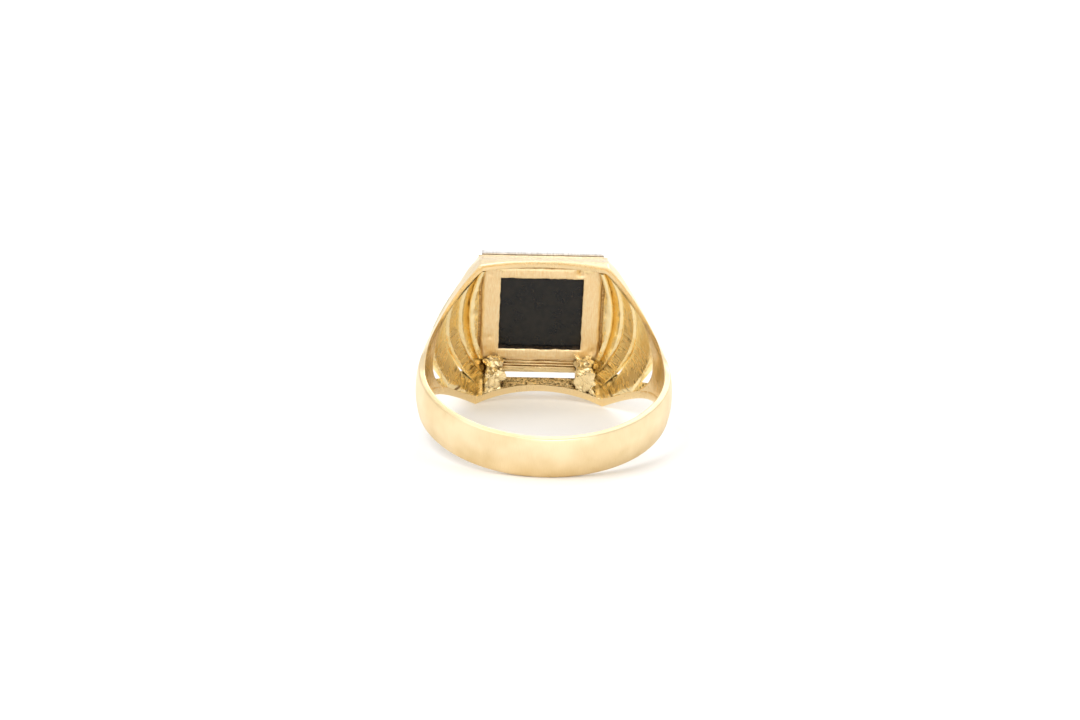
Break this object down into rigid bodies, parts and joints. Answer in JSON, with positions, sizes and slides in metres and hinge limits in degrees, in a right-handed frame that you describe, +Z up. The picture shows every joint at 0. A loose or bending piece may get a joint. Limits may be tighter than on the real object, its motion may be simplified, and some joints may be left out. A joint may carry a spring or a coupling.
{
  "type": "signet ring",
  "caption": "Two-tone gold signet ring with pierced, fluted shoulders and a flat square onyx tablet in a white-gold bezel plate, lying on its side.",
  "frame": {"origin": "on the table surface, under the centre of the bounding box of the ring as it lies on its side", "axes": "+Z up, +Y from the shank to the head, +X to the right when looking from the shank into the head"},
  "size_m": [0.0212, 0.0252, 0.0136],
  "materials": {
    "yellow_gold": "satin-brushed yellow gold",
    "white_gold": "polished white gold",
    "onyx": "polished black onyx",
    "cement": "dull black-brown jeweller's cement"
  },
  "bodies": {
    "root": {"shank": "yellow_gold", "side_wall_upper": "yellow_gold", "side_wall_lower": "yellow_gold", "shoulder_left": "yellow_gold", "shoulder_right": "yellow_gold", "rib_left_1": "yellow_gold", "rib_left_2": "yellow_gold", "rib_left_3": "yellow_gold", "rib_left_4": "yellow_gold", "rib_right_1": "yellow_gold", "rib_right_2": "yellow_gold", "rib_right_3": "yellow_gold", "rib_right_4": "yellow_gold", "seat_post_upper_left": "yellow_gold", "seat_post_upper_right": "yellow_gold", "seat_post_lower_left": "yellow_gold", "seat_post_lower_right": "yellow_gold", "head_table": "yellow_gold", "stone_seat": "yellow_gold", "cement_bed": "cement", "onyx_stone": "onyx", "bezel_plate": "white_gold"}
  },
  "joints": []
}
